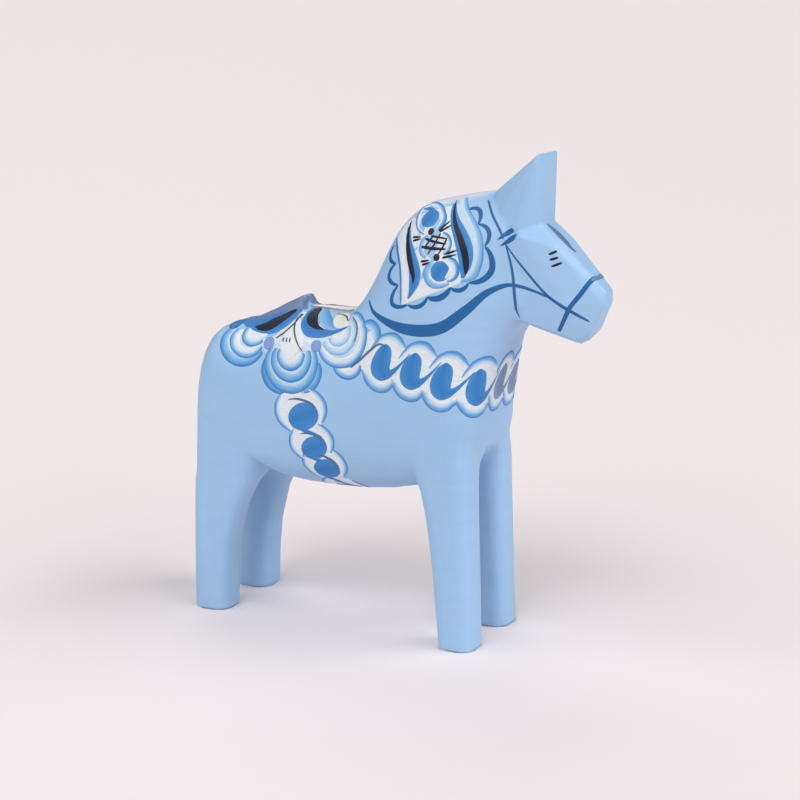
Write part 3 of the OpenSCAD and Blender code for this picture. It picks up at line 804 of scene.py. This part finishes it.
def mane_rings(art):
    sheet = Sheet(art.skin, MANE_MIDDLE)
    # Upper ring with its comma.
    art.fill(sheet,
             [(-8.8, 17), (-11.1, 15.3), (-11.6, 12.7), (-11.4, 9.9), (-10.2, 7.1), (-7.8, 5.2), (-6, 4.4)],
             [(-10, 18.2), (-13, 17), (-13.6, 14.2), (-13.4, 10.9), (-12.3, 8), (-9.8, 5.2), (-6.4, 3.6)],
             "rim", 2)
    art.fill(sheet,
             [(-1.6, 6.4), (-0.8, 8.6), (-0.6, 11), (-2, 13.4), (-4.4, 15.6), (-7, 16.6), (-9.4, 17.2)],
             [(0.2, 5.8), (2, 8.2), (2.1, 11), (0.3, 14.2), (-2.9, 17.4), (-6.9, 18.8), (-10, 18.2)],
             "rim", 2)
    art.dot(sheet, (-6, 10.9), 8.6, 8.2, "mid_blue", 3, -40)
    comma = sheet.all([(-11.8, 15.4), (-8.6, 15.4), (-5.4, 14.2)])
    art.brush(comma, [0.9, 1.8, 3], "mid_blue", 3, (0.4, 0.3))
    # Lower ring.
    art.fill(sheet,
             [(0.2, -8), (-1.4, -10.5), (-1.1, -13), (1, -14.6), (3.2, -15), (5.4, -14.6), (7.6, -13.6)],
             [(-1.7, -7), (-3.9, -9.6), (-3.9, -13), (-2, -16), (0.9, -17.1), (4.5, -16.6), (7.6, -15)],
             "pool", 2)
    art.fill(sheet,
             [(6, -13.4), (7.4, -12.4), (8.3, -11), (8.4, -9), (7.6, -7.4), (5.8, -6)],
             [(6.2, -14.6), (9.4, -13.3), (11, -11.2), (11, -8.2), (9.6, -5.6), (6, -4.2)],
             "rim", 2)
    art.dot(sheet, (3, -10.4), 8.2, 8, "mid_blue", 3, -40)
    art.brush(sheet.all([(7.4, -8), (7, -10.6), (5.4, -13)]), 1.3, "pale", 4, (0.4, 0.5))
    # Hatched middle, with a black spot above and below it.
    art.fill(sheet,
             [(-3.6, 3), (-5.4, 1), (-5.8, -1.4), (-5, -3.4), (-3.2, -4.8)],
             [(-4.4, 4), (-7.1, 1.8), (-7.8, -1.5), (-6.7, -4.4), (-4, -6)],
             "pool", 2)
    art.fill(sheet,
             [(3.2, -3.4), (4.7, -1.6), (5, 0.6), (3.8, 2.6), (1.6, 4)],
             [(4.2, -4.4), (6.4, -2.3), (6.9, 0.8), (5.1, 4), (1.8, 5.4)],
             "rim", 2)
    for line, width in HATCHING:
        art.brush(sheet.all(line), width, "ink", 4, (0.2, 0.4))
    for spot in ((-3.5, 5.1), (1.1, -5.2)):
        art.dot(sheet, spot, 2.7, 2.9, "ink", 5)
    for dash in DASHES:
        art.brush(sheet.all(dash), 0.9, "ink", 5, (0.3, 0.6))


def mane_leaves(art):
    sheet = Sheet(art.skin, MANE_MIDDLE)
    # Front leaf: its pale stroke and its blue edge, then its blue body and black core.
    light = sheet.all([(5, 20.4), (7.6, 14), (11.8, 8.8), (15.3, 3.6), (17, -1.8), (16.6, -7),
                       (14.4, -11.8)])
    art.brush(light, 2.6, "ice", 2, (0.2, 0.4))
    art.fill(sheet,
             [(5.6, 21), (8.3, 15.5), (12.7, 10.2), (16.4, 4.4), (17.8, -1.2), (17.2, -7),
              (15.2, -10.8), (11.6, -12.9)],
             [(7.4, 21), (10.2, 15.9), (15, 10.3), (18.7, 4.7), (20, -1), (19.8, -6.7),
              (17.4, -11.8), (11.6, -13.9)],
             "pool", 3)
    art.fill(sheet,
             [(2.2, 18), (2.8, 13.8), (4.8, 7.6), (7.8, 1.2), (10, -4.8), (11.2, -9.5), (12, -12.6)],
             [(3.6, 18), (6.7, 12.4), (11, 7.4), (14.4, 2.8), (16.1, -2), (15.8, -7), (13, -12.4)],
             "mid_blue", 4)
    core = sheet.all([(3, 19.2), (4.5, 13.6), (6.8, 8.2), (10.1, 2.8), (12.7, -3), (13.7, -8),
                      (13.5, -10.8)])
    art.brush(core, [0.6, 1.6, 2.2, 2.9, 3.2, 2.9, 1.2], "ink", 5, (0.4, 0.2))
    # Rear leaf.
    light = sheet.all([(-19.4, 6.9), (-16.8, -4), (-13, -15), (-11.8, -23)])
    art.brush(light, [2, 3, 3.2, 2], "pale", 2, (0.3, 0.4))
    edge = sheet.all([(-22, 3.5), (-18.4, -3.4), (-15.9, -8.6), (-14.1, -15.8), (-13.4, -23.8)])
    art.brush(edge, [1.2, 1.5, 1.3, 1.1, 0.7], "mid_blue", 3, (0.3, 0.4))
    art.fill(sheet,
             [(-16.6, 8), (-15.8, 3), (-14, -2), (-11.8, -8), (-10.6, -12.6), (-10.2, -16),
              (-10, -19), (-10.4, -22)],
             [(-14.8, 6.6), (-12.7, 2.3), (-9.8, -2.4), (-6.8, -7.4), (-5.2, -11.6), (-5.5, -15.6),
              (-7.4, -19), (-10, -22)],
             "mid_blue", 4)
    core = sheet.all([(-15.9, 10.5), (-15.2, 5.5), (-14, 0.8), (-12, -4.4), (-9.9, -9.4),
                      (-8.3, -13.6), (-8.2, -16)])
    art.brush(core, [0.6, 1.7, 2.3, 2.7, 2.8, 2, 0.8], "ink", 5, (0.4, 0.3))


# Corners between the scallops that edge the mane panel, from the crest round to the withers, and
# how far the scallop after each corner bulges to its right, seen along the line.
SCALLOP_CORNERS = [(56.4, 175.5), (62.7, 170.8), (66.8, 163), (61.5, 148.8), (54.2, 146.7),
                   (44.9, 142.4), (36.7, 138.8), (31.1, 145.8), (28.2, 153.7), (24.6, 160)]
SCALLOP_BULGES = [-3.4, -3.2, -6.4, -2, -2.2, -2.2, -6, -4.4, -3]


def mane_scallops(art):
    for (x0, z0), (x1, z1), bulge in zip(SCALLOP_CORNERS, SCALLOP_CORNERS[1:], SCALLOP_BULGES):
        dx, dz = x1 - x0, z1 - z0
        span = math.hypot(dx, dz)
        points = []
        for t in (0, 0.12, 0.3, 0.5, 0.7, 0.88, 1):
            out = bulge * math.sin(math.pi * t) ** 0.7
            points.append((x0 + dx * t + out * dz / span, z0 + dz * t - out * dx / span))
        art.brush(flank(art, points), 2.5 if span > 9 else 1.8, "dark_blue", 1, (0.5, 0.5))


# ---------------------------------------------------------------- harness and face

def rein(art):
    art.brush(flank(art, [(16.4, 138.3), (20, 134.6), (26.7, 131.6), (38.5, 129.2), (51, 130.8), (60.8, 138),
                          (70, 146), (77.5, 148.7), (84.5, 147), (93.5, 143.8)]),
              [1, 1.8, 3, 4.8, 4.8, 4, 2.6, 1.6, 1.3, 1.1], "dark_blue", 0, (0.15, 0.15))


def bridle(art):
    headpiece = flank(art, [(63.7, 179.6), (67.6, 174.4), (71.9, 169), (74, 166)])
    art.brush(headpiece, 1, "dark_blue", 0, (0.15, 0.15))
    for buckle in ([(71.4, 165.4), (74, 167.4), (77, 169.6)], [(72.6, 163.2), (75.6, 165), (79.6, 168)]):
        art.brush(flank(art, buckle), 2.1, "dark_blue", 1, (0.9, 0.3))
    jaw_strap = flank(art, [(75, 164), (78, 154.4), (79.3, 143), (79.4, 138.6), (80.4, 135.4)])
    art.brush(jaw_strap, [0.7, 1, 1.3, 1.2, 0.6], "dark_blue", 0, (0.15, 0.3))
    muzzle_strap = flank(art, [(75, 164), (84, 153), (92.3, 144.2), (99.5, 139.6), (106.6, 135.2)])
    art.brush(muzzle_strap, [0.7, 0.9, 1.1, 1.5, 1.3], "dark_blue", 0, (0.15, 0.2))


def noseband(art):
    """Round the nose from one side of the jaw to the other, with a painted sheen in slate on its top."""
    half = [(95.2, -9.5, 131), (97.6, -10.2, 136), (99.6, -10.3, 140.4), (103.2, -8.7, 145.6),
            (106.6, -5.8, 151), (107.8, 0, 152)]
    points = half + [(x, -y, z) for x, y, z in half[-2::-1]]
    top = points[4:7]
    art.brush(points, 1.9, "dark_blue", 1, (0.1, 0.1))
    # Slate on top of the nose: painted sheen where the noseband faces up into the light.
    art.brush(top, [1.4, 2.1, 1.4], "slate", 2, (0.3, 0.3))


def brow(art):
    """The right brow runs over the top of the face. The left one, unseen, is drawn on its own side."""
    if art.skin.mirrored:
        points = [(86.6, -12, 168.4), (90.4, -12.8, 165), (94, -12.4, 161.6), (96.6, -11.4, 159.2)]
        widths = [1, 2.4, 2.4, 1.2]
    else:
        points = [(86.8, -3, 171.3), (89.8, -2.4, 169), (93.2, -2.8, 166), (96, -3.3, 163.4), (98.8, -2, 161)]
        widths = [1.8, 3.6, 4.2, 3.6, 1.6]
    art.brush(points, widths, "dusk", 3, (0.3, 0.4))


def eye(art):
    for ends in (((91.4, 160.8), (92.9, 161.4), (94.4, 162.2)), ((91.8, 158.7), (93.4, 159.2), (95, 159.7)),
                 ((92.6, 156.2), (94.6, 157), (96.4, 157.8))):
        art.brush(flank(art, ends), 1, "ink", 0, (0.4, 0.4))


# ---------------------------------------------------------------- assembly

make_camera()
body = carve_body()
SIDES = {"right": Skin(body.data), "left": Skin(body.data, mirrored=True)}
core = carve_core()
for piece, paint, node, slot in ((body, paint_base(), "ground_coat", "light_blue_paint"),
                                 (core, bare_pine(), "pine_core", "pine")):
    piece.data.transform(WORLD_FROM_MM)
    piece.data.materials.clear()
    piece.data.materials.append(paint)
    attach(piece, "root")
    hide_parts(node)

MOTIFS = [
    (saddle_ground, "saddle_ground", "saddle_painting", "pale_paint"),
    (rear_fan, "saddle_rear_fan", "saddle_painting", "mid_blue_paint"),
    (centre_fan, "saddle_centre_fan", "saddle_painting", "mid_blue_paint"),
    (front_fan, "saddle_front_fan", "saddle_painting", "mid_blue_paint"),
    (saddle_leaves, "saddle_leaf", "saddle_painting", "mid_blue_paint"),
    (saddle_flower, "saddle_flower", "saddle_painting", "mid_blue_paint"),
    (saddle_lines, "saddle_lines", "saddle_painting", "black_paint"),
    (mane_panel, "mane_ground", "mane_panel_{side}", "pale_paint"),
    (mane_rings, "mane_rings", "mane_panel_{side}", "mid_blue_paint"),
    (mane_leaves, "mane_leaves", "mane_panel_{side}", "mid_blue_paint"),
    (mane_scallops, "scallop_line", "mane_scallops_{side}", "dark_blue_paint"),
    (rein, "rein_stroke", "rein_{side}", "dark_blue_paint"),
    (bridle, "bridle_strokes", "bridle_{side}", "dark_blue_paint"),
    (brow, "brow", "brow_stroke_{side}", "dark_blue_paint"),
    (eye, "eye_dashes", "eye_{side}", "black_paint"),
]
for side, skin in SIDES.items():
    for draw, name, node, slot in MOTIFS:
        art = Painting(skin)
        draw(art)
        art.build(f"{name}_{side}", node.format(side=side))
    for i, (centre, turn, size) in enumerate(GIRTH_LINKS):
        art = Painting(skin)
        girth_link(art, Sheet(skin, centre, turn, scale=size))
        art.build(f"girth_link_{i + 1}_{side}", f"girth_garland_{side}")

for i, (centre, forward) in enumerate(BREAST_LINKS):
    art = Painting(SIDES["right"])
    # The commas of the links on the chest are painted slate instead of mid blue: a painted sheen where the
    # chest faces the light.
    sheen_on_chest = forward == (0, 1, 0)
    link(art, Sheet(SIDES["right"], centre, forward=forward), "slate" if sheen_on_chest else "mid_blue")
    art.build(f"breast_link_{i + 1}", "breast_garland")
for draw, name, node, slot in ((noseband, "noseband_stroke", "noseband", "dark_blue_paint"),
                               (seat, "seat_paint", "saddle_painting", "pale_paint"),
                               (mane_crest, "mane_crest", "mane_panel_right", "pale_paint")):
    art = Painting(SIDES["right"])
    draw(art)
    art.build(name, node)

make_floor()
make_lights()
